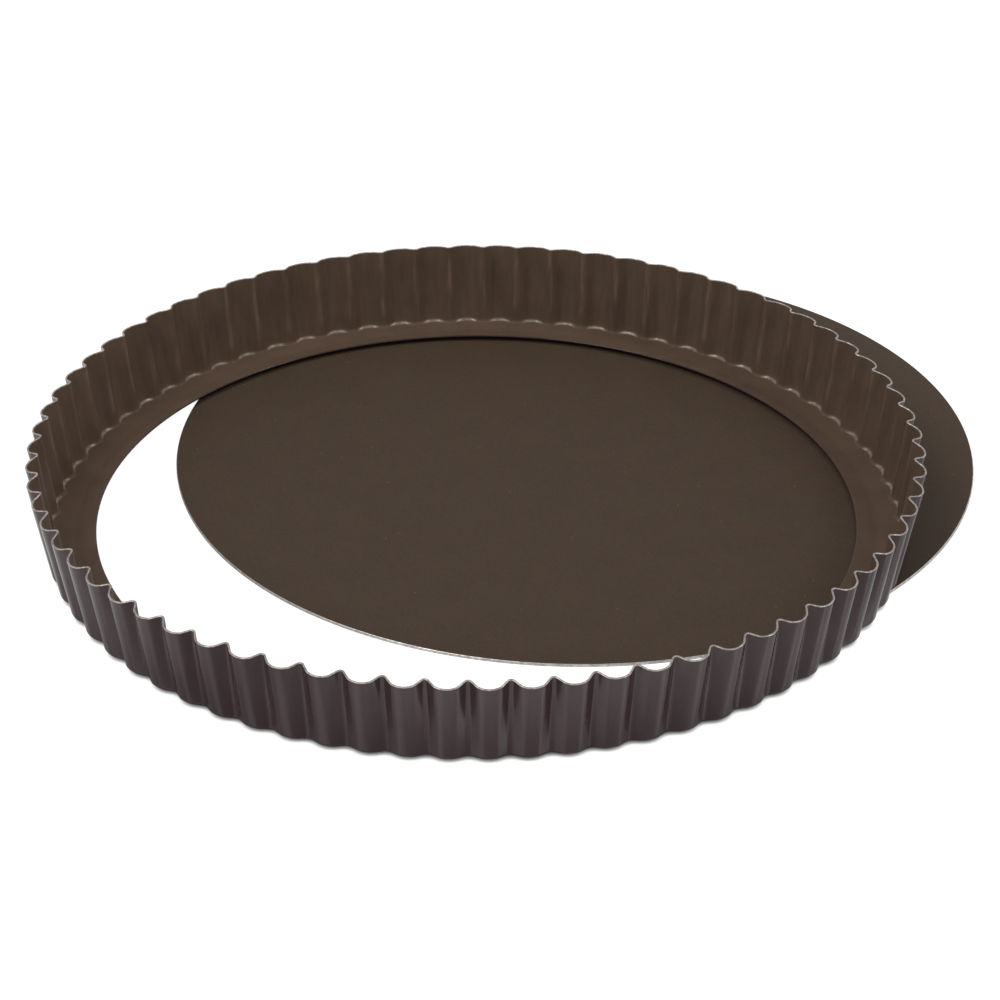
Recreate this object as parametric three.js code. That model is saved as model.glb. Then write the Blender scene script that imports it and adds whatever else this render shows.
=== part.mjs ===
// Fluted tart pan with a loose base, taken apart: the base lies flat on the table and the ring lies on top of it,
// drawn to one side. Millimetres, +Z up. The origin is the centre of the base's underside.
import * as THREE from "three";

// Ring: one pressed sheet, with a fluted wall that flares up to a cut rim and a flat ledge turned in at its foot.
const FLUTE_COUNT = 72;
const RIM_RADIUS = 140; // outside, on the bulges
const RING_HEIGHT = 28.3; // from the foot to the rim's high points, which are at the grooves
const RIM_DIP = 1; // how much lower the rim is on the bulges
const WALL_LEAN = 4.5; // how far the foot stands in from the rim
const GROOVE_DEPTH_AT_RIM = 3.4;
const GROOVE_DEPTH_AT_FOOT = 2.4;
const RING_SHEET = 0.6;
const FOOT_BEND = 2; // inside radius of the bend from the wall into the ledge
const LEDGE_WIDTH = 15.9; // from the foot's outside, on the bulges, in to the opening
const LIP_WIDTH = 6.4; // the ledge's inner band
const LIP_RISE = 0.4; // how far that band rises towards the opening
const FLUTE_TURN = THREE.MathUtils.degToRad(-1.08); // turns a groove away from the front

// Base: one flat round plate that drops into the ring onto the ledge.
const BASE_THICKNESS = 0.8;
const BASE_CLEARANCE = 2.1; // from the base's edge to the wall, where the grooves come in furthest at the foot
const BASE_EDGE = 0.15; // the small chamfer on the plate's two edges

// Where the base lies under the ring.
const BASE_DRAWN_OUT = 55; // between the two centres
const BASE_DIRECTION = THREE.MathUtils.degToRad(54.2); // from the ring's centre, anticlockwise from +X

// How finely the round shapes are faceted.
const COLUMNS_PER_FLUTE = 6;
const BASE_COLUMNS = 144;

const FOOT_RADIUS = RIM_RADIUS - WALL_LEAN;
const OUTER_BEND = FOOT_BEND + RING_SHEET;
const BEND_CENTRE_RADIUS = FOOT_RADIUS - OUTER_BEND;
const OPENING_RADIUS = FOOT_RADIUS - LEDGE_WIDTH;
const LIP_RADIUS = OPENING_RADIUS + LIP_WIDTH;
const LEAN_ANGLE = Math.atan2(WALL_LEAN, RING_HEIGHT);
const BASE_RADIUS = FOOT_RADIUS - GROOVE_DEPTH_AT_FOOT - RING_SHEET - BASE_CLEARANCE;

/** Turns a section of radii and heights about the Z axis, with the first column of points at the front. */
function turned(section, columns) {
  return new THREE.LatheGeometry(section, columns).rotateX(Math.PI / 2);
}

/** The ring's closed section on a bulge, as radius and height, from the opening out, up the wall and back. */
function ringSection() {
  const section = new THREE.Path();
  section.moveTo(OPENING_RADIUS, LIP_RISE);
  section.lineTo(LIP_RADIUS, 0);
  section.lineTo(BEND_CENTRE_RADIUS, 0);
  section.absarc(BEND_CENTRE_RADIUS, OUTER_BEND, OUTER_BEND, -Math.PI / 2, -LEAN_ANGLE, false);
  section.lineTo(RIM_RADIUS, RING_HEIGHT);
  section.lineTo(RIM_RADIUS - RING_SHEET, RING_HEIGHT);
  section.absarc(BEND_CENTRE_RADIUS, OUTER_BEND, FOOT_BEND, -LEAN_ANGLE, -Math.PI / 2, true);
  section.lineTo(LIP_RADIUS, RING_SHEET);
  section.lineTo(OPENING_RADIUS, LIP_RISE + RING_SHEET);
  section.closePath();
  return section.getPoints(1);
}

/** Draws the wall and foot of a turned ring in at the grooves, and lets the rim dip on the bulges. */
function pressFlutes(geometry) {
  const place = geometry.attributes.position;
  const point = new THREE.Vector3();
  const pitch = (2 * Math.PI) / FLUTE_COUNT;
  for (let i = 0; i < place.count; i += 1) {
    point.fromBufferAttribute(place, i);
    const radius = Math.hypot(point.x, point.y);
    const fluted = THREE.MathUtils.inverseLerp(LIP_RADIUS, BEND_CENTRE_RADIUS, radius);
    const onWall = THREE.MathUtils.inverseLerp(OUTER_BEND, RING_HEIGHT, point.z);
    const wallShare = THREE.MathUtils.clamp(onWall, 0, 1);
    const depth = THREE.MathUtils.lerp(GROOVE_DEPTH_AT_FOOT, GROOVE_DEPTH_AT_RIM, wallShare);
    // Each bulge is close to an arc that runs from one groove to the next.
    const fromGroove = THREE.MathUtils.euclideanModulo(Math.atan2(point.x, -point.y) / pitch, 1);
    const groove = (2 * fromGroove - 1) ** 2;
    const drawnIn = depth * groove * THREE.MathUtils.clamp(fluted, 0, 1);
    const shrink = (radius - drawnIn) / radius;
    const dip = RIM_DIP * (1 - groove) * wallShare;
    place.setXYZ(i, point.x * shrink, point.y * shrink, point.z - dip);
  }
}

function makeFlutedRing() {
  const geometry = turned(ringSection(), FLUTE_COUNT * COLUMNS_PER_FLUTE);
  pressFlutes(geometry);
  const coating = new THREE.MeshStandardMaterial({ color: 0x4b403a, roughness: 0.5, metalness: 0.3 });
  const ring = new THREE.Mesh(geometry, coating);
  ring.name = "fluted_ring";
  ring.rotation.z = FLUTE_TURN;
  ring.position.x = -BASE_DRAWN_OUT * Math.cos(BASE_DIRECTION);
  ring.position.y = -BASE_DRAWN_OUT * Math.sin(BASE_DIRECTION);
  ring.position.z = BASE_THICKNESS;
  return ring;
}

function makeLooseBase() {
  const section = [
    new THREE.Vector2(0, 0),
    new THREE.Vector2(BASE_RADIUS - BASE_EDGE, 0),
    new THREE.Vector2(BASE_RADIUS, BASE_EDGE),
    new THREE.Vector2(BASE_RADIUS, BASE_THICKNESS - BASE_EDGE),
    new THREE.Vector2(BASE_RADIUS - BASE_EDGE, BASE_THICKNESS),
    new THREE.Vector2(0, BASE_THICKNESS),
  ];
  const geometry = turned(section, BASE_COLUMNS);
  const coating = new THREE.MeshStandardMaterial({ color: 0x4b4038, roughness: 0.6, metalness: 0.3 });
  const base = new THREE.Mesh(geometry, coating);
  base.name = "loose_base";
  return base;
}

const tartPan = new THREE.Group();
tartPan.add(makeLooseBase(), makeFlutedRing());

export default tartPan;
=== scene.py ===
"""Dresses a fluted tart pan: a pressed, coated steel ring that lies on its loose base plate."""

import logging
import math
from dataclasses import dataclass
from enum import Enum
from typing import Any

import bmesh
import bpy
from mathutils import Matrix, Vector


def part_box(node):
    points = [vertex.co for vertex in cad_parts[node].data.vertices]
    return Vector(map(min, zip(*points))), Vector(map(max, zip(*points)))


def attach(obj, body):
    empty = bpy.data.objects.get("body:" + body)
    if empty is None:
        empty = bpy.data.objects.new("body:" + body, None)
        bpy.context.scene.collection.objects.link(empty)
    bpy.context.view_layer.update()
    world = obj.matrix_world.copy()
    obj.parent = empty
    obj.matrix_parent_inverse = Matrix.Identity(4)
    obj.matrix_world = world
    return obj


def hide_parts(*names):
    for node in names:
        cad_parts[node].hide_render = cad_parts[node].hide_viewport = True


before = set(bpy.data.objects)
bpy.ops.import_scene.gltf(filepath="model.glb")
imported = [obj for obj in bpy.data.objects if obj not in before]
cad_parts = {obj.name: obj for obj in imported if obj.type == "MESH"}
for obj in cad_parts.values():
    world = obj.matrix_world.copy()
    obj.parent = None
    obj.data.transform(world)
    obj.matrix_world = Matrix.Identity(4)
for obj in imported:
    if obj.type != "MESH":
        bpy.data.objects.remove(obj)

MM = 0.001
LOG = logging.getLogger("tart_pan")

GROOVE = "groove"
GLINT_CORNER = "corner"

Colour = tuple[float, float, float]
Point = tuple[float, float]


class Body(Enum):
    """The two bodies of the pan, which lift apart."""

    BASE = "base"
    RING = "ring"


class Coat(Enum):
    """The record's material slots."""

    BASE = "base_coating"
    RING = "ring_coating"


@dataclass(frozen=True)
class Value:
    """A number that a node gives. Arithmetic on it adds maths nodes to the same tree."""

    bench: "NodeBench"
    socket: bpy.types.NodeSocket

    def __add__(self, other: "Number") -> "Value":
        """Adds a number."""
        return self.bench.maths("ADD", self, other)

    def __sub__(self, other: "Number") -> "Value":
        """Takes a number away."""
        return self.bench.maths("SUBTRACT", self, other)

    def __rsub__(self, other: float) -> "Value":
        """Takes this value away from a number."""
        return self.bench.maths("SUBTRACT", other, self)

    def __mul__(self, other: "Number") -> "Value":
        """Multiplies by a number."""
        return self.bench.maths("MULTIPLY", self, other)

    def __truediv__(self, other: "Number") -> "Value":
        """Divides by a number."""
        return self.bench.maths("DIVIDE", self, other)

    def __pow__(self, other: "Number") -> "Value":
        """Raises to a power."""
        return self.bench.maths("POWER", self, other)


Number = float | Value


class NodeBench:
    """Adds nodes to one tree and joins them."""

    def __init__(self, tree: bpy.types.NodeTree) -> None:
        """Keeps the tree to work on."""
        self.tree = tree

    def feed(self, socket: bpy.types.NodeSocket, source: Any) -> None:
        """Joins a source to an input, or sets the input where the source is a plain setting.

        Args:
            socket: The input.
            source: An output, a value, or a number, colour, vector or material.
        """
        if isinstance(source, Value):
            source = source.socket
        if isinstance(source, bpy.types.NodeSocket):
            self.tree.links.new(source, socket)
        else:
            socket.default_value = source

    def add(self, kind: str, inputs: dict[str, Any] | None = None, **settings: Any) -> bpy.types.Node:
        """Adds a node.

        Args:
            kind: The node's type.
            inputs: What goes into its inputs, by their names.
            settings: The node's own options.

        Returns:
            The new node.
        """
        node = self.tree.nodes.new(kind)
        for name, setting in settings.items():
            setattr(node, name, setting)
        for name, source in (inputs or {}).items():
            socket = next(s for s in node.inputs if s.name == name and s.enabled)
            self.feed(socket, source)
        return node

    def maths(self, operation: str, *values: Number) -> Value:
        """Adds a maths node.

        Args:
            operation: The node's operation.
            values: Its operands, in order.

        Returns:
            The result.
        """
        node = self.add("ShaderNodeMath", operation=operation)
        for socket, value in zip(node.inputs, values):
            self.feed(socket, value)
        return Value(self, node.outputs[0])

    def ramp(self, value: Number, start: Number, end: Number, low: Number = 0.0, high: Number = 1.0) -> Value:
        """Maps a value that goes from start to end onto low to high, and holds it at both ends.

        Args:
            value: The value to map.
            start: Where the ramp begins.
            end: Where the ramp ends.
            low: The result at the start.
            high: The result at the end.

        Returns:
            The mapped value.
        """
        inputs = {"Value": value, "From Min": start, "From Max": end, "To Min": low, "To Max": high}
        return Value(self, self.add("ShaderNodeMapRange", inputs).outputs["Result"])

    def mix(self, share: Number, first: Any, second: Any) -> bpy.types.NodeSocket:
        """Mixes two colours.

        Args:
            share: How much of the second colour there is.
            first: The colour at 0.
            second: The colour at 1.

        Returns:
            The mixed colour.
        """
        node = self.add("ShaderNodeMix", {"Factor": share, "A": first, "B": second}, data_type="RGBA")
        return next(s for s in node.outputs if s.enabled)


def opaque(colour: Colour, brighter: float = 1.0) -> tuple[float, float, float, float]:
    """Returns a colour for a socket, made brighter by a factor."""
    return (*(channel * brighter for channel in colour), 1.0)


def settle(piece: bpy.types.Object) -> None:
    """Gives a piece the plain mesh that its modifiers make, and removes them.

    Args:
        piece: The piece, with its modifiers live.
    """
    bpy.context.view_layer.update()
    evaluated = piece.evaluated_get(bpy.context.evaluated_depsgraph_get())
    made = bpy.data.meshes.new_from_object(evaluated)
    made.name = piece.name
    piece.modifiers.clear()
    piece.data = made


def report_piece(piece: bpy.types.Object) -> None:
    """Logs how fine a piece is."""
    piece.data.calc_loop_triangles()
    LOG.info("%s: %d triangles", piece.name, len(piece.data.loop_triangles))


@dataclass(frozen=True)
class SprayedCoat:
    """A sprayed and baked non-stick coat: mottled, with fine grain, specks and a faintly uneven gloss."""

    name: str
    colour: Colour
    roughness: float
    specular: float
    centre: Vector
    # The bare metal of the painted glints in the corner arcs.
    metal: Colour = (0.56, 0.48, 0.4)
    mottle: float = 0.1
    tint: float = 0.015
    graininess: float = 0.05
    specks: float = 0.3
    mottle_size: float = 14 * MM
    tint_size: float = 8.4 * MM
    grain_size: float = 0.5 * MM
    speck_spacing: float = 3.2 * MM
    speck_radius: float = 0.3 * MM
    speck_share: float = 0.15
    speck_light: float = 3.5
    speck_core: float = 0.3
    grain_height: float = 0.004 * MM
    gloss_change: float = 0.04

    def noise(self, bench: NodeBench, place: bpy.types.NodeSocket, size: float, detail: float) -> Value:
        """Adds soft noise.

        Args:
            bench: The material's nodes.
            place: Where on the piece the noise is read.
            size: How far apart its blotches are, in metres.
            detail: How many finer layers it has.

        Returns:
            The noise, stretched so that it mostly goes from -1 to 1.
        """
        made = bench.add("ShaderNodeTexNoise", {"Vector": place, "Scale": 1 / size, "Detail": detail})
        return bench.ramp(Value(bench, made.outputs["Fac"]), 0.3, 0.7, -1.0, 1.0)

    def specked(self, bench: NodeBench, place: bpy.types.NodeSocket) -> Value:
        """Adds small round specks, in a few of the cells of an uneven grid.

        Args:
            bench: The material's nodes.
            place: Where on the piece the specks are read.

        Returns:
            1 on a speck and 0 elsewhere.
        """
        cells = bench.add("ShaderNodeTexVoronoi", {"Vector": place, "Scale": 1 / self.speck_spacing})
        away = Value(bench, cells.outputs["Distance"]) * self.speck_spacing
        chosen = bench.add("ShaderNodeSeparateColor", {"Color": cells.outputs["Color"]})
        kept = bench.maths("LESS_THAN", Value(bench, chosen.outputs["Red"]), self.speck_share)
        strength = Value(bench, chosen.outputs["Green"])
        return bench.ramp(away, self.speck_radius, self.speck_core * self.speck_radius) * kept * strength

    def marks(self, bench: NodeBench, place: bpy.types.NodeSocket) -> Number:
        """Returns how much lighter the coat is where it is marked: a plain coat has no marks."""
        return 0.0

    def painted_glint(self, bench: NodeBench) -> Number:
        """Returns how much of the coat is painted as glinting bare metal: a plain coat has none."""
        return 0.0

    def make(self) -> bpy.types.Material:
        """Builds the material.

        Returns:
            The finished material.
        """
        material = bpy.data.materials.new(self.name)
        material.use_nodes = True
        material.node_tree.nodes.clear()
        bench = NodeBench(material.node_tree)
        space = bench.add("ShaderNodeTexCoord").outputs["Object"]
        place = bench.add("ShaderNodeMapping", {"Vector": space, "Location": -self.centre}).outputs["Vector"]
        blotches = self.noise(bench, place, self.mottle_size, 5.0)
        grain = self.noise(bench, place, self.grain_size, 2.0)
        shade = blotches * self.mottle + grain * self.graininess + self.marks(bench, place)
        red, green, blue = self.colour
        hue = self.noise(bench, place, self.tint_size, 2.0) * 0.5 + 0.5
        olive = (red * (1 - self.tint), green * (1 + self.tint), blue)
        russet = (red * (1 + self.tint), green * (1 - self.tint), blue)
        # Half way between black and twice the colour is the colour itself. The shade goes both ways from it.
        twice = bench.mix(hue, opaque(olive, 2.0), opaque(russet, 2.0))
        colour = bench.mix(shade * 0.5 + 0.5, opaque(self.colour, 0.0), twice)
        speck = opaque(self.colour, self.speck_light)
        colour = bench.mix(self.specked(bench, place) * self.specks, colour, speck)
        # Painted glints: bare metal is mixed in where the corner arcs should catch the lights.
        glint_share = self.painted_glint(bench)
        colour = bench.mix(glint_share, colour, opaque(self.metal))
        relief = {"Height": grain, "Distance": self.grain_height, "Strength": 1.0}
        shader = bench.add("ShaderNodeBsdfPrincipled", {
            "Base Color": colour,
            "Metallic": glint_share,
            "Roughness": blotches * self.gloss_change + self.roughness,
            "Specular IOR Level": self.specular,
            "Normal": bench.add("ShaderNodeBump", relief).outputs["Normal"],
        })
        bench.add("ShaderNodeOutputMaterial", {"Surface": shader.outputs["BSDF"]})
        return material


@dataclass(frozen=True)
class DrawnCoat(SprayedCoat):
    """A coat on the drawn ring: faint marks run the way it was drawn, ridges are lighter from rubbing and
    painted sheen, and the corners carry painted glints.
    """

    streaks: float = 0.1
    ledge: float = 0.0
    rub_and_sheen: float = 0.0
    # How strongly the corner arcs are painted as glinting bare metal.
    glint_share: float = 0.0
    streak_width: float = 1.6 * MM
    streak_length: float = 14 * MM
    streaked_radius: float = 135 * MM
    ledge_top: float = 2.2 * MM
    ledge_fade: float = 2 * MM
    ledge_calm: float = 0.7
    ridge: float = 0.9
    rub_and_sheen_streaks: Point = (-0.4, 0.8)
    least_glint: float = 0.3

    def marks(self, bench: NodeBench, place: bpy.types.NodeSocket) -> Number:
        """Adds streaks up the wall and across the lighter ledge, and light lines on some of the ridges,
        partly from rubbing and partly painted sheen.

        Args:
            bench: The material's nodes.
            place: Where on the piece the marks are read, from the ring's axis.

        Returns:
            How much lighter the coat is.
        """
        flat = bench.add("ShaderNodeVectorMath", operation="MULTIPLY")
        bench.feed(flat.inputs[0], place)
        bench.feed(flat.inputs[1], (1.0, 1.0, 0.0))
        outward = bench.add("ShaderNodeVectorMath", operation="LENGTH")
        bench.feed(outward.inputs[0], flat.outputs["Vector"])
        height = Value(bench, bench.add("ShaderNodeSeparateXYZ", {"Vector": place}).outputs["Z"])
        along = (Value(bench, outward.outputs["Value"]) + height) * (self.streak_width / self.streak_length)
        drawn = bench.add("ShaderNodeCombineXYZ", {"Z": along})
        spoke = bench.add("ShaderNodeVectorMath", operation="NORMALIZE")
        bench.feed(spoke.inputs[0], flat.outputs["Vector"])
        stretched = bench.add("ShaderNodeVectorMath", operation="MULTIPLY_ADD")
        bench.feed(stretched.inputs[0], spoke.outputs["Vector"])
        bench.feed(stretched.inputs[1], (self.streaked_radius,) * 3)
        bench.feed(stretched.inputs[2], drawn.outputs["Vector"])
        streaks = self.noise(bench, stretched.outputs["Vector"], self.streak_width, 3.0)
        ridge = bench.add("ShaderNodeAttribute", attribute_name=GROOVE)
        on_ridge = bench.ramp(Value(bench, ridge.outputs["Fac"]), self.ridge, 1.0)
        on_ledge = bench.ramp(height, self.ledge_top + self.ledge_fade, self.ledge_top)
        # Along the ridges the coat is lighter, partly from rubbing and partly as painted sheen.
        lighter = on_ridge * bench.ramp(streaks, *self.rub_and_sheen_streaks) * self.rub_and_sheen + on_ledge * self.ledge
        return streaks * self.streaks * (1.0 - on_ledge * self.ledge_calm) + lighter

    def painted_glint(self, bench: NodeBench) -> Number:
        """Adds short bare-metal arcs in the corner where each bulge meets the ledge: painted glints of the
        lights.

        Args:
            bench: The material's nodes.

        Returns:
            How much of the coat is painted as glinting bare metal.
        """
        corner = bench.add("ShaderNodeAttribute", attribute_name=GLINT_CORNER)
        space = bench.add("ShaderNodeTexCoord").outputs["Object"]
        patches = self.noise(bench, space, self.streak_width, 2.0)
        uneven = bench.ramp(patches, -1.0, 0.8, self.least_glint, 1.0)
        return Value(bench, corner.outputs["Fac"]) * uneven * self.glint_share


@dataclass(frozen=True)
class CutSteel:
    """The raw edge where the sheet was trimmed: steel with fine drag marks and a thin film of the coat."""

    name: str
    colour: Colour
    film: Colour
    roughness: float = 0.38
    rougher: float = 0.1
    smoother: float = 0.08
    metallic: float = 0.85
    mark_size: float = 1.1 * MM

    def make(self) -> bpy.types.Material:
        """Builds the material.

        Returns:
            The finished material.
        """
        material = bpy.data.materials.new(self.name)
        material.use_nodes = True
        material.node_tree.nodes.clear()
        bench = NodeBench(material.node_tree)
        space = bench.add("ShaderNodeTexCoord").outputs["Object"]
        noise = bench.add("ShaderNodeTexNoise", {"Vector": space, "Scale": 1 / self.mark_size, "Detail": 3.0})
        bare = bench.ramp(Value(bench, noise.outputs["Fac"]), 0.35, 0.65)
        colour = bench.mix(bare, opaque(self.film), opaque(self.colour))
        gloss = bench.ramp(bare, 0.0, 1.0, self.roughness + self.rougher, self.roughness - self.smoother)
        shader = bench.add("ShaderNodeBsdfPrincipled", {
            "Base Color": colour,
            "Roughness": gloss,
            "Metallic": self.metallic,
        })
        bench.add("ShaderNodeOutputMaterial", {"Surface": shader.outputs["BSDF"]})
        return material


@dataclass
class PressedRing:
    """The ring: one pressed sheet with a fluted, flaring wall and a ledge turned in at its foot."""

    outside: bpy.types.Material
    inside: bpy.types.Material
    edge: bpy.types.Material
    flutes: int = 72
    columns: int = 30
    rim_radius: float = 140 * MM
    foot_radius: float = 135.1 * MM
    height: float = 28.3 * MM
    opening_radius: float = 119.6 * MM
    lip_width: float = 6.4 * MM
    lip_rise: float = 1.6 * MM
    lip_bend: float = 9 * MM
    lip_steps: int = 2
    foot_bend: float = 2.2 * MM
    foot_steps: int = 6
    groove_depth_at_rim: float = 3.4 * MM
    groove_depth_at_foot: float = 2.3 * MM
    bottom_at_rim: float = 0.035
    bottom_at_foot: float = 0.05
    steepness_at_rim: float = 4.0
    steepness_at_foot: float = 3.2
    rounding: float = 0.035
    shoulder: float = 0.1
    arch: float = 0.9
    kept_at_foot: float = 0.7
    rim_dip: float = 1.0 * MM
    sheet: float = 0.6 * MM
    edge_rounding: float = 0.2 * MM
    turn: float = math.radians(-1.08)
    crowding: float = 0.35
    # Where the painted glints sit in the bend and along each bulge.
    glint_starts: Point = (0.02, 0.1)
    glint_ends: Point = (0.52, 0.32)
    glint_on_bulge: Point = (0.15, 0.28)
    glint_fades: Point = (0.45, 0.25)
    glint_mid_bulge: float = 0.7

    def round_corner(
        self, before: Vector, corner: Vector, after: Vector, radius: float, steps: int,
    ) -> list[Vector]:
        """Draws the arc that rounds a corner of the section.

        Args:
            before: A point on the line into the corner.
            corner: The sharp corner.
            after: A point on the line out of the corner.
            radius: The arc's radius.
            steps: How many pieces the arc has.

        Returns:
            The arc's points, both ends included.
        """
        back = (before - corner).normalized()
        ahead = (after - corner).normalized()
        half = back.angle(ahead) / 2
        centre = corner + (back + ahead).normalized() * (radius / math.sin(half))
        start = corner + back * (radius / math.tan(half)) - centre
        end = corner + ahead * (radius / math.tan(half)) - centre
        sweep = math.pi - 2 * half
        points = []
        for step in range(steps + 1):
            share = step / steps
            spoke = start * math.sin((1 - share) * sweep) + end * math.sin(share * sweep)
            points.append(centre + spoke / math.sin(sweep))
        return points

    def section(self) -> list[Point]:
        """Draws the sheet's outer face as radius and height, from the rim down and in to the opening.

        Returns:
            The section's points.
        """
        rim = Vector((self.rim_radius, self.height))
        foot = Vector((self.foot_radius, 0.0))
        lip = Vector((self.opening_radius + self.lip_width, 0.0))
        mouth = Vector((self.opening_radius, self.lip_rise))
        near_edge = 2.5 * self.edge_rounding
        outline = [rim, rim + (foot - rim).normalized() * near_edge]
        outline += [rim.lerp(foot, share) for share in (0.25, 0.5, 0.75)]
        outline += self.round_corner(rim, foot, lip, self.foot_bend, self.foot_steps)
        outline += self.round_corner(foot, lip, mouth, self.lip_bend, self.lip_steps)
        outline += [mouth + (lip - mouth).normalized() * near_edge, mouth]
        return [(point.x, point.y) for point in outline]

    def flute_tree(self) -> bpy.types.NodeTree:
        """Builds the rule that turns a section about an axis and presses the flutes into it.

        Returns:
            The geometry tree, with an input for each size.
        """
        tree = bpy.data.node_groups.new("Fluted ring", "GeometryNodeTree")
        bench = NodeBench(tree)
        tree.interface.new_socket("Section", in_out="INPUT", socket_type="NodeSocketGeometry")
        tree.interface.new_socket("Ring", in_out="OUTPUT", socket_type="NodeSocketGeometry")
        for name, setting in self.tree_inputs().items():
            kinds = {int: "NodeSocketInt", float: "NodeSocketFloat", Vector: "NodeSocketVector"}
            kind = kinds.get(type(setting), "NodeSocketMaterial")
            tree.interface.new_socket(name, in_out="INPUT", socket_type=kind)
        given = bench.add("NodeGroupInput").outputs
        size = {name: Value(bench, given[name]) for name in self.tree_inputs()}

        outline = bench.add("GeometryNodeMeshToCurve", {"Mesh": given["Section"]})
        section = bench.add("GeometryNodeCaptureAttribute")
        section.capture_items.new("VECTOR", "Place")
        bench.feed(section.inputs["Geometry"], outline.outputs["Curve"])
        bench.feed(section.inputs["Place"], bench.add("GeometryNodeInputPosition").outputs["Position"])
        count = size["Flutes"] * size["Columns"]
        circle = bench.add("GeometryNodeCurvePrimitiveCircle", {"Resolution": count})
        round_the_axis = bench.add("GeometryNodeCaptureAttribute")
        round_the_axis.capture_items.new("INT", "Column")
        bench.feed(round_the_axis.inputs["Geometry"], circle.outputs["Curve"])
        bench.feed(round_the_axis.inputs["Column"], bench.add("GeometryNodeInputIndex").outputs["Index"])
        sheet = bench.add("GeometryNodeCurveToMesh", {
            "Curve": round_the_axis.outputs["Geometry"],
            "Profile Curve": section.outputs["Geometry"],
        })

        at = bench.add("ShaderNodeSeparateXYZ", {"Vector": section.outputs["Place"]}).outputs
        radius = Value(bench, at["X"])
        height = Value(bench, at["Z"])
        # The columns crowd towards the grooves, where the sheet bends most.
        even = Value(bench, round_the_axis.outputs["Column"]) / size["Columns"]
        phase = even - bench.maths("SINE", even * math.tau) * size["Crowding"] / math.tau
        from_groove = bench.maths("PINGPONG", phase, 0.5)
        # A flute goes from a flat groove bottom up a steep flank and over a shoulder onto an arched bulge.
        on_wall = bench.ramp(height, size["Bend"], size["Height"])
        sharp = on_wall ** 2.0
        bottom = bench.ramp(sharp, 0.0, 1.0, size["Bottom At Foot"], size["Bottom At Rim"])
        steepness = bench.ramp(sharp, 0.0, 1.0, size["Steepness At Foot"], size["Steepness At Rim"])
        up_the_flank = bench.maths("SMOOTH_MAX", from_groove - bottom, 0.0, size["Rounding"])
        bulge = size["Arch"] * (1.0 - from_groove * 2.0) ** 2.0
        groove = bench.maths("SMOOTH_MAX", 1.0 - up_the_flank * steepness, bulge, size["Shoulder"])
        off_the_lip = bench.ramp(radius, size["Lip Radius"], size["Foot Radius"] - size["Bend"])
        fluted = off_the_lip * bench.ramp(height, 0.0, size["Bend"] * 2.0, size["Kept At Foot"], 1.0)
        depth = bench.ramp(sharp, 0.0, 1.0, size["Depth At Foot"], size["Depth At Rim"])
        pressed = radius - depth * groove * fluted
        lowered = height - size["Rim Dip"] * (1.0 - groove) * on_wall
        angle = phase / size["Flutes"] * math.tau + size["Turn"] - math.pi / 2
        place = bench.add("ShaderNodeCombineXYZ", {
            "X": pressed * bench.maths("COSINE", angle),
            "Y": pressed * bench.maths("SINE", angle),
            "Z": lowered,
        })
        centred = bench.add("ShaderNodeVectorMath", operation="ADD")
        bench.feed(centred.inputs[0], place.outputs["Vector"])
        bench.feed(centred.inputs[1], given["Centre"])
        moved = bench.add("GeometryNodeSetPosition", {
            "Geometry": sheet.outputs["Mesh"],
            "Position": centred.outputs["Vector"],
        })
        marked = bench.add("GeometryNodeStoreNamedAttribute", {
            "Geometry": moved.outputs["Geometry"],
            "Name": GROOVE,
            "Value": groove * fluted,
        })
        # Painted glints: low in the bend, along each bulge, the coat is painted as bare metal so that the
        # lights glint there.
        up_the_bend = height / size["Bend"]
        in_bend = off_the_lip * bench.ramp(up_the_bend, *self.glint_starts)
        in_bend = in_bend * bench.ramp(up_the_bend, *self.glint_ends)
        on_bulge = bench.ramp(from_groove, *self.glint_on_bulge)
        on_bulge = on_bulge * bench.ramp(from_groove, *self.glint_fades, self.glint_mid_bulge, 1.0)
        marked = bench.add("GeometryNodeStoreNamedAttribute", {
            "Geometry": marked.outputs["Geometry"],
            "Name": GLINT_CORNER,
            "Value": in_bend * on_bulge,
        })
        smooth = bench.add("GeometryNodeSetShadeSmooth", {"Geometry": marked.outputs["Geometry"]})
        real = bench.add("GeometryNodeRealizeInstances", {"Geometry": smooth.outputs["Geometry"]})
        dressed = bench.add("GeometryNodeSetMaterial", {
            "Geometry": real.outputs["Geometry"],
            "Material": given["Outside"],
        })
        bench.add("NodeGroupOutput", {"Ring": dressed.outputs["Geometry"]})
        return tree

    def centre(self) -> Vector:
        """Returns the middle of the ring's foot, where the frame has it."""
        low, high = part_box("fluted_ring")
        return Vector(((low.x + high.x) / 2, (low.y + high.y) / 2, low.z))

    def tree_inputs(self) -> dict[str, Any]:
        """Lists what the tree is given.

        Returns:
            The tree's inputs by name, with their settings.
        """
        return {
            "Flutes": self.flutes,
            "Columns": self.columns,
            "Height": self.height,
            "Bend": self.foot_bend,
            "Lip Radius": self.opening_radius + self.lip_width,
            "Foot Radius": self.foot_radius,
            "Depth At Rim": self.groove_depth_at_rim,
            "Depth At Foot": self.groove_depth_at_foot,
            "Bottom At Rim": self.bottom_at_rim,
            "Bottom At Foot": self.bottom_at_foot,
            "Steepness At Rim": self.steepness_at_rim,
            "Steepness At Foot": self.steepness_at_foot,
            "Rounding": self.rounding,
            "Shoulder": self.shoulder,
            "Arch": self.arch,
            "Kept At Foot": self.kept_at_foot,
            "Crowding": self.crowding,
            "Rim Dip": self.rim_dip,
            "Turn": self.turn,
            "Centre": self.centre(),
            "Outside": self.outside,
        }

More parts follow.
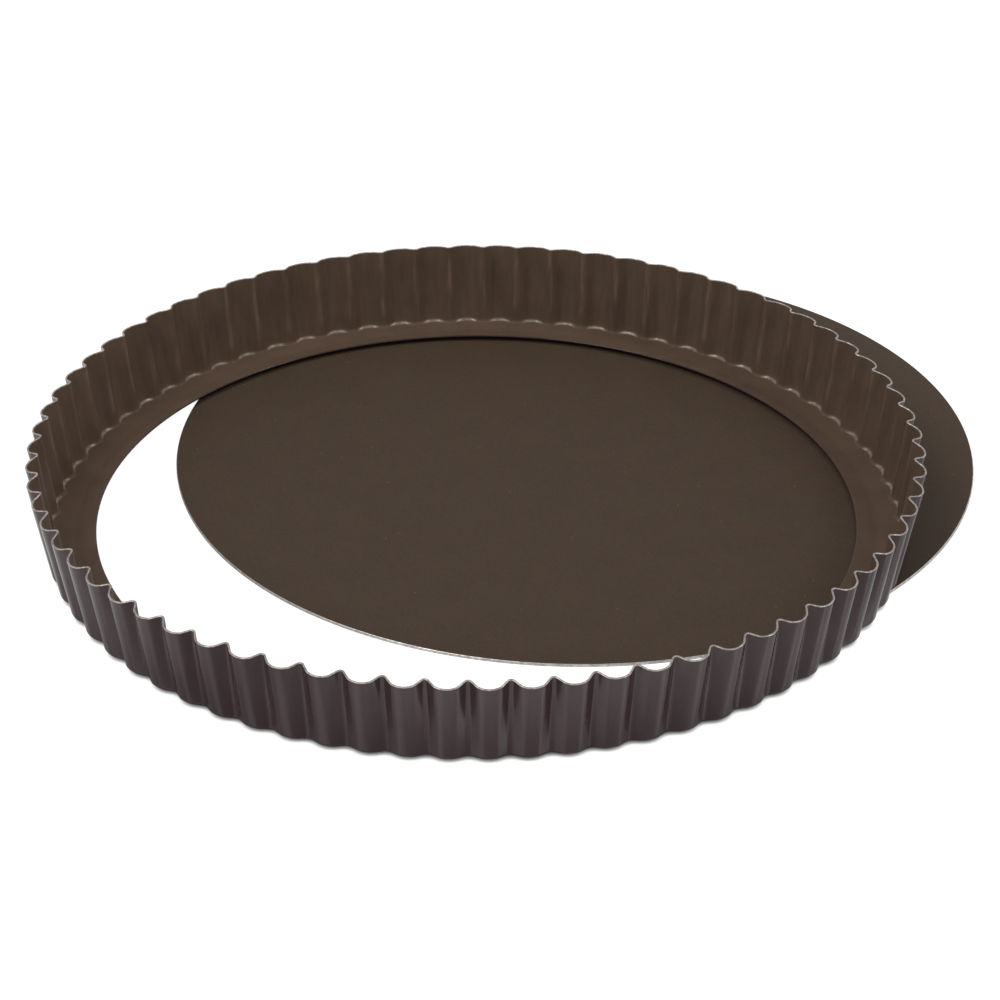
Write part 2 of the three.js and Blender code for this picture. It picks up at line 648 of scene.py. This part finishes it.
    def press(self) -> bpy.types.Object:
        """Turns the section into a fluted sheet with no thickness.

        Returns:
            The sheet as a piece with a plain mesh.
        """
        outline = self.section()
        edges = [(i, i + 1) for i in range(len(outline) - 1)]
        mesh = bpy.data.meshes.new("ring_section")
        mesh.from_pydata([(radius, 0.0, height) for radius, height in outline], edges, [])
        piece = bpy.data.objects.new("pressed_ring", mesh)
        bpy.context.scene.collection.objects.link(piece)
        modifier = piece.modifiers.new("Flutes", "NODES")
        modifier.node_group = self.flute_tree()
        settings = self.tree_inputs()
        for item in modifier.node_group.interface.items_tree:
            if item.name in settings:
                modifier[item.identifier] = settings[item.name]
        settle(piece)
        return piece

    def thicken(self, piece: bpy.types.Object) -> None:
        """Gives the sheet its gauge and rounds its two cut edges.

        Args:
            piece: The pressed sheet.
        """
        piece.data.materials.append(self.inside)
        piece.data.materials.append(self.edge)
        gauge = piece.modifiers.new("Gauge", "SOLIDIFY")
        gauge.thickness = self.sheet
        gauge.offset = -1
        gauge.use_even_offset = True
        gauge.use_quality_normals = True
        gauge.material_offset = 1
        gauge.material_offset_rim = 2
        rounding = piece.modifiers.new("Cut edges", "BEVEL")
        rounding.width = self.edge_rounding
        rounding.segments = 2
        rounding.limit_method = "ANGLE"
        rounding.angle_limit = math.radians(60)
        rounding.material = 2
        settle(piece)
        # The coat covers the edge round the opening, and only the rim is bare.
        half_way = self.centre().z + self.height / 2
        for face in piece.data.polygons:
            if face.material_index == 2 and face.center.z < half_way:
                face.material_index = 0
            face.use_smooth = True

    def build(self) -> bpy.types.Object:
        """Makes the ring and puts it on its body.

        Returns:
            The finished ring.
        """
        piece = self.press()
        self.thicken(piece)
        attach(piece, Body.RING.value)
        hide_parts("fluted_ring")
        return piece


@dataclass
class BasePlate:
    """The loose base: one flat round plate with a bare, slightly rounded edge."""

    coat: bpy.types.Material
    edge: bpy.types.Material
    top_rounding: float = 0.4 * MM
    under_rounding: float = 0.1 * MM
    edge_steps: int = 4
    columns: int = 360
    rings: int = 12
    flat: float = 0.9

    def section(self) -> list[Vector]:
        """Draws half of the plate's section, from the middle of its underside round the edge to its top.

        Returns:
            The section's points.
        """
        low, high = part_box("loose_base")
        radius = (high.x - low.x) / 2
        spread = [(radius - 2 * self.top_rounding) * ring / self.rings for ring in range(self.rings)]
        points = [Vector((r, 0.0, low.z)) for r in spread]
        under = (low.z + self.under_rounding, self.under_rounding, -90)
        top = (high.z - self.top_rounding, self.top_rounding, 0)
        for corner, rounding, start in (under, top):
            for step in range(self.edge_steps + 1):
                angle = math.radians(start + 90 * step / self.edge_steps)
                across = radius - rounding + rounding * math.cos(angle)
                points.append(Vector((across, 0.0, corner + rounding * math.sin(angle))))
        return points + [Vector((r, 0.0, high.z)) for r in reversed(spread)]

    def build(self) -> bpy.types.Object:
        """Makes the plate and puts it on its body.

        Returns:
            The finished plate.
        """
        shape = bmesh.new()
        corners = [shape.verts.new(point) for point in self.section()]
        lines = [shape.edges.new(pair) for pair in zip(corners, corners[1:])]
        turn = {"cent": (0, 0, 0), "axis": (0, 0, 1), "angle": math.tau, "steps": self.columns}
        bmesh.ops.spin(shape, geom=corners + lines, use_merge=True, **turn)
        bmesh.ops.remove_doubles(shape, verts=shape.verts, dist=0.001 * MM)
        bmesh.ops.recalc_face_normals(shape, faces=shape.faces)
        mesh = bpy.data.meshes.new("base_plate")
        shape.to_mesh(mesh)
        shape.free()
        mesh.materials.append(self.coat)
        mesh.materials.append(self.edge)
        for face in mesh.polygons:
            face.use_smooth = True
            face.material_index = int(abs(face.normal.z) < self.flat)
        piece = bpy.data.objects.new("base_plate", mesh)
        bpy.context.scene.collection.objects.link(piece)
        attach(piece, Body.BASE.value)
        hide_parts("loose_base")
        return piece


@dataclass(frozen=True)
class SoftLight:
    """A broad light, far off, given by where it stands as seen from the pan."""

    name: str
    strength: float
    azimuth: float
    elevation: float
    spread: float

    def hang(self) -> None:
        """Hangs the light, facing the pan."""
        lamp = bpy.data.lights.new(self.name, "SUN")
        lamp.energy = self.strength
        lamp.angle = math.radians(self.spread)
        light = bpy.data.objects.new(self.name, lamp)
        light.rotation_euler = (0.0, math.radians(90 - self.elevation), math.radians(self.azimuth))
        bpy.context.scene.collection.objects.link(light)


@dataclass(frozen=True)
class Studio:
    """A white floor between two broad side lights, in a pale room."""

    lights: tuple[SoftLight, ...]
    floor_radius: float = 20.0
    floor_drop: float = 0.05 * MM
    floor_colour: float = 0.85
    floor_glow: float = 0.95
    floor_shade: float = 0.2
    floor_gloss: float = 0.12
    floor_roughness: float = 0.3
    contact_reach: float = 1.9 * MM
    contact: tuple[float, float] = (0.2, 0.62)
    mirrored_reach: float = 25 * MM
    front: float = -45 * MM
    front_shade: float = 2.0
    beside: tuple[float, float] = (80 * MM, 150 * MM)
    side_shade: float = -0.6
    far_side: tuple[float, float] = (10 * MM, 105 * MM)
    far_level: float = 0.42
    shadow_place: float = -112 * MM
    shadow_width: float = 65 * MM
    shadow_level: float = 0.22
    mirrored_level: float = 0.83
    horizon: float = 1.0
    horizon_end: float = 0.08
    low_sky: float = 0.62
    low_sky_start: float = 0.3
    high_sky: float = 0.6

    def floor_material(self) -> bpy.types.Material:
        """Builds a floor that is white to the eye, with the pan's shadow darkest where the two nearly touch.

        Returns:
            The floor's material.
        """
        material = bpy.data.materials.new("white_floor")
        material.use_nodes = True
        material.node_tree.nodes.clear()
        bench = NodeBench(material.node_tree)
        ray = bench.add("ShaderNodeLightPath").outputs
        camera = Value(bench, ray["Is Camera Ray"])
        seen = camera + Value(bench, ray["Is Glossy Ray"]) + Value(bench, ray["Is Transmission Ray"])
        reach = bench.ramp(camera, 0.0, 1.0, self.mirrored_reach, self.contact_reach)
        near = bench.add("ShaderNodeAmbientOcclusion", {"Distance": reach}, samples=16)
        openness = Value(bench, near.outputs["AO"])
        # In the pan's gloss the floor is dark close to the wall at the front and bright close to it at the
        # sides, darker where the pan's shadow falls at the left, and dimmer to the far right.
        space = bench.add("ShaderNodeTexCoord").outputs["Object"]
        across = Value(bench, bench.add("ShaderNodeSeparateXYZ", {"Vector": space}).outputs["X"])
        aside = bench.maths("ABSOLUTE", across - self.front)
        near_wall = openness ** bench.ramp(aside, *self.beside, self.front_shade, self.side_shade)
        from_shadow = bench.maths("ABSOLUTE", across - self.shadow_place)
        level = bench.ramp(from_shadow, 0.0, self.shadow_width, self.shadow_level, self.mirrored_level)
        mirrored = near_wall * level * bench.ramp(across, *self.far_side, 1.0, self.far_level)
        open_floor = bench.ramp(camera, 0.0, 1.0, mirrored, bench.ramp(openness, *self.contact))
        plain = bench.add("ShaderNodeBsdfDiffuse", {"Color": opaque((self.floor_colour,) * 3)})
        shade = bench.add("ShaderNodeBsdfDiffuse", {"Color": opaque((self.floor_shade,) * 3)})
        glow = bench.add("ShaderNodeEmission", {"Strength": open_floor * self.floor_glow})
        lit = bench.add("ShaderNodeAddShader")
        bench.feed(lit.inputs[0], shade.outputs["BSDF"])
        bench.feed(lit.inputs[1], glow.outputs["Emission"])
        # The pan's gloss also shows the lights that the floor mirrors.
        mirror = Value(bench, ray["Is Glossy Ray"]) * self.floor_gloss
        shine = bench.add("ShaderNodeBsdfGlossy", {"Color": mirror, "Roughness": self.floor_roughness})
        white = bench.add("ShaderNodeAddShader")
        bench.feed(white.inputs[0], lit.outputs["Shader"])
        bench.feed(white.inputs[1], shine.outputs["BSDF"])
        both = bench.add("ShaderNodeMixShader")
        bench.feed(both.inputs[0], bench.maths("MINIMUM", seen, 1.0))
        bench.feed(both.inputs[1], plain.outputs["BSDF"])
        bench.feed(both.inputs[2], white.outputs["Shader"])
        bench.add("ShaderNodeOutputMaterial", {"Surface": both.outputs["Shader"]})
        return material

    def lay_floor(self) -> None:
        """Lays the floor just under the pan."""
        shape = bmesh.new()
        bmesh.ops.create_circle(shape, cap_ends=True, segments=64, radius=self.floor_radius)
        mesh = bpy.data.meshes.new("floor")
        shape.to_mesh(mesh)
        shape.free()
        mesh.materials.append(self.floor_material())
        floor = bpy.data.objects.new("floor", mesh)
        floor.location.z = -self.floor_drop
        bpy.context.scene.collection.objects.link(floor)

    def paint_room(self) -> None:
        """Gives the room a white horizon and a dimmer, even sky."""
        world = bpy.data.worlds.new("pale_room")
        world.use_nodes = True
        world.node_tree.nodes.clear()
        bench = NodeBench(world.node_tree)
        direction = bench.add("ShaderNodeTexCoord").outputs["Generated"]
        axes = bench.add("ShaderNodeSeparateXYZ", {"Vector": direction}).outputs
        up = Value(bench, axes["Z"])
        strength = bench.ramp(up, self.horizon_end, self.low_sky_start, self.horizon, self.low_sky)
        strength = strength + bench.ramp(up, self.low_sky_start, 1.0, 0.0, self.high_sky - self.low_sky)
        sky = bench.add("ShaderNodeBackground", {"Strength": strength})
        bench.add("ShaderNodeOutputWorld", {"Surface": sky.outputs["Background"]})
        bpy.context.scene.world = world

    def build(self) -> None:
        """Sets up floor, lights and room."""
        bpy.context.scene.view_settings.view_transform = "Standard"
        self.lay_floor()
        for light in self.lights:
            light.hang()
        self.paint_room()


@dataclass(frozen=True)
class Viewpoint:
    """The camera in front of the pan, a little above it."""

    place: Vector
    target: Vector
    lens: float = 115.06
    sensor: float = 36.0

    def build(self) -> None:
        """Sets up the camera and makes it the scene's own."""
        optics = bpy.data.cameras.new("camera")
        optics.lens = self.lens
        optics.sensor_width = self.sensor
        camera = bpy.data.objects.new("camera", optics)
        camera.location = self.place
        camera.rotation_euler = (self.target - self.place).to_track_quat("-Z", "Y").to_euler()
        bpy.context.scene.collection.objects.link(camera)
        bpy.context.scene.camera = camera


def main() -> None:
    """Builds the camera, the studio and the two pieces."""
    logging.basicConfig(level=logging.INFO, format="%(name)s: %(message)s")
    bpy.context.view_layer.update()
    Viewpoint(Vector((-32.17, -915.51, 518.1)) * MM, Vector((-24.69, -36.45, 1.8)) * MM).build()
    left = SoftLight("left_light", 0.87, azimuth=216, elevation=54, spread=28)
    right = SoftLight("right_light", 0.5, azimuth=-12, elevation=45, spread=12)
    Studio((left, right)).build()
    low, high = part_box("fluted_ring")
    axis = Vector(((low.x + high.x) / 2, (low.y + high.y) / 2, 0.0))
    # Both ring coats are lighter along the ridges and groove bottoms, partly from rubbing and partly as
    # painted sheen.
    outside = DrawnCoat("outside_coat", (0.05, 0.026, 0.029), 0.12, 0.45, axis, streaks=0.08, rub_and_sheen=0.3)
    # The inside coat gets painted glints of bare metal in its corners.
    inside = DrawnCoat(
        "inside_coat", (0.121, 0.0805, 0.057), 0.4, 0.1, axis, streaks=0.08, ledge=0.1,
        rub_and_sheen=0.42, glint_share=0.75,
    )
    matt = SprayedCoat(
        "matt_coat", (0.075, 0.0505, 0.0345), 0.55, 0.12, Vector((0.0, 0.0, 0.0)), mottle=0.05, tint=0.03,
        graininess=0.12, specks=1.0, speck_share=0.3,
    )
    plate_edge = CutSteel("plate_edge", (0.8, 0.78, 0.76), (0.5, 0.48, 0.46))
    rim_edge = CutSteel("rim_edge", (0.66, 0.6, 0.56), (0.36, 0.31, 0.28), roughness=0.42)
    report_piece(BasePlate(matt.make(), plate_edge.make()).build())
    report_piece(PressedRing(outside.make(), inside.make(), rim_edge.make()).build())


if __name__ == "__main__":
    main()
